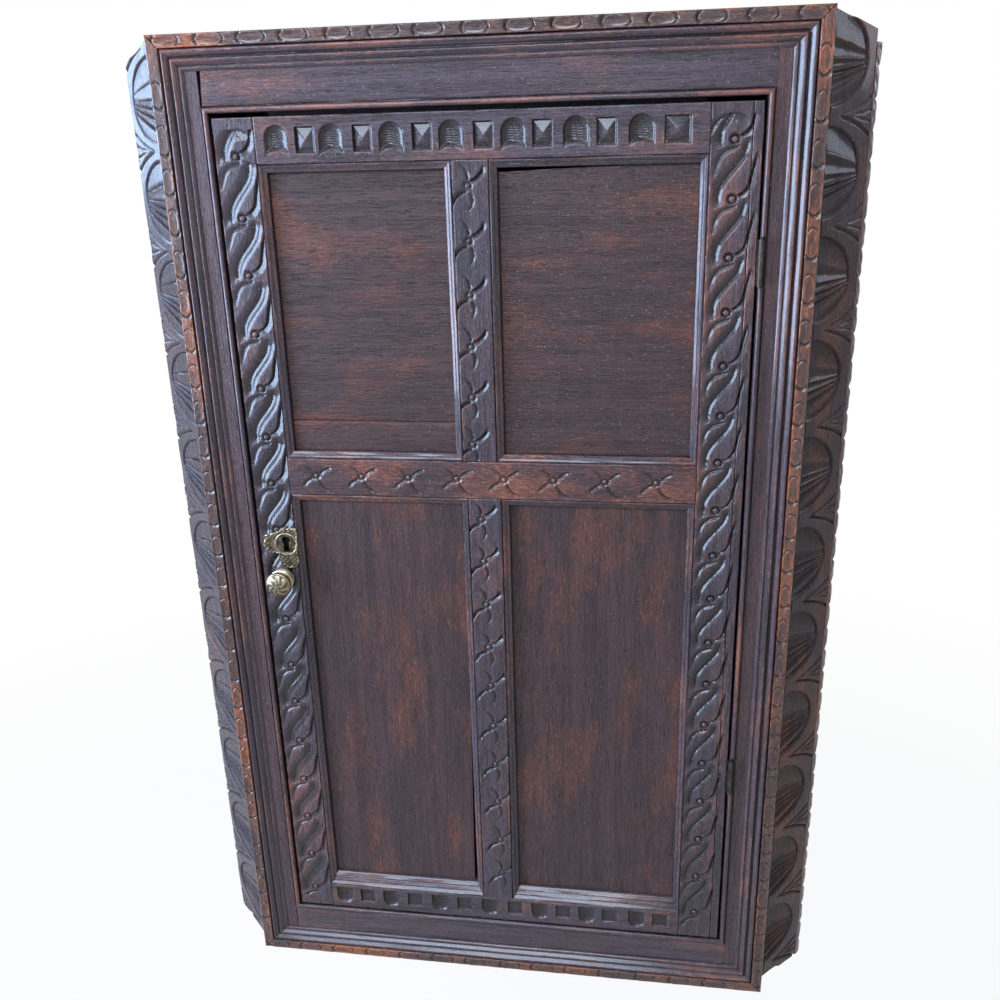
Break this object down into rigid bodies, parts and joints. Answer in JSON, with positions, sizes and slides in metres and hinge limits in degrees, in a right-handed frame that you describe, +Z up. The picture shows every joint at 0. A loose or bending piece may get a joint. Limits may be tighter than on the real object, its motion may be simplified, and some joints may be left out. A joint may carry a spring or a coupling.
{
  "type": "hanging corner cupboard",
  "caption": "Hanging corner cupboard in carved oak, with canted sides, one panelled door with a knob and lock, shelves behind it, and rails for screwing it into a room's corner.",
  "frame": {"origin": "middle of the cupboard's overall width and depth, knob included, at the level of its lowest edge", "axes": "+X to the right as one faces the door, +Y back into the room's corner, +Z up"},
  "size_m": [0.8306, 0.4886, 1.227],
  "materials": {
    "oak_carved": "waxed, worn",
    "oak_dark": "waxed",
    "oak_worn": "waxed, worn",
    "oak_inside": "unfinished",
    "iron": "forged, dull",
    "brass": "cast, dull"
  },
  "bodies": {
    "carcase": {"frame_stile_left": "oak_carved", "frame_stile_right": "oak_carved", "frame_rail_top": "oak_carved", "frame_rail_bottom": "oak_carved", "moulding_left": "oak_carved", "moulding_right": "oak_carved", "moulding_top": "oak_carved", "moulding_bottom": "oak_carved", "side_board_left": "oak_carved", "side_board_right": "oak_carved", "bead_left": "oak_dark", "bead_right": "oak_dark", "bead_top": "oak_dark", "bead_bottom": "oak_dark", "side_edging_right": "oak_dark", "edge_strip_left": "oak_worn", "edge_strip_right": "oak_worn", "edge_strip_top": "oak_worn", "edge_strip_bottom": "oak_worn", "frame_pegs": "oak_worn", "top_board": "oak_inside", "bottom_board": "oak_inside", "shelf_lower": "oak_inside", "shelf_upper": "oak_inside", "shelf_bearers": "oak_inside", "back_boards_left": "oak_inside", "back_boards_right": "oak_inside", "corner_post": "oak_inside", "hanging_rail_left": "oak_inside", "hanging_rail_right": "oak_inside", "door_stops": "oak_inside", "back_board_nails": "iron", "frame_hinge_leaves": "iron", "frame_hinge_screws": "iron", "hinge_pins": "iron", "keeper_plate": "iron", "keeper_screws": "iron"},
    "door": {"door_stile_lock": "oak_carved", "door_stile_hinge": "oak_carved", "door_closing_strip": "oak_worn", "door_rail_top": "oak_carved", "door_rail_middle": "oak_carved", "door_rail_bottom": "oak_carved", "door_muntin_upper": "oak_carved", "door_muntin_lower": "oak_carved", "panel_upper_left": "oak_dark", "panel_upper_right": "oak_dark", "panel_lower_left": "oak_dark", "panel_lower_right": "oak_dark", "door_pegs": "oak_worn", "escutcheon": "brass", "escutcheon_pins": "brass", "knob": "brass", "knob_nut": "iron", "lock_plate": "iron", "lock_case": "iron", "lock_screws": "iron", "door_hinge_leaves": "iron", "door_hinge_screws": "iron"},
    "lock_bolt": {"lock_bolt": "iron"}
  },
  "joints": [
    {"name": "door_hinge", "type": "hinge", "parent": "carcase", "child": "door", "pos_m": [0.2986, -0.21808, 0.6135], "axis": [0, 0, 1], "range_deg": [0, 165]},
    {"name": "bolt_slide", "type": "slide", "parent": "door", "child": "lock_bolt", "axis": [-1, 0, 0], "range_m": [0, 0.009]}
  ]
}
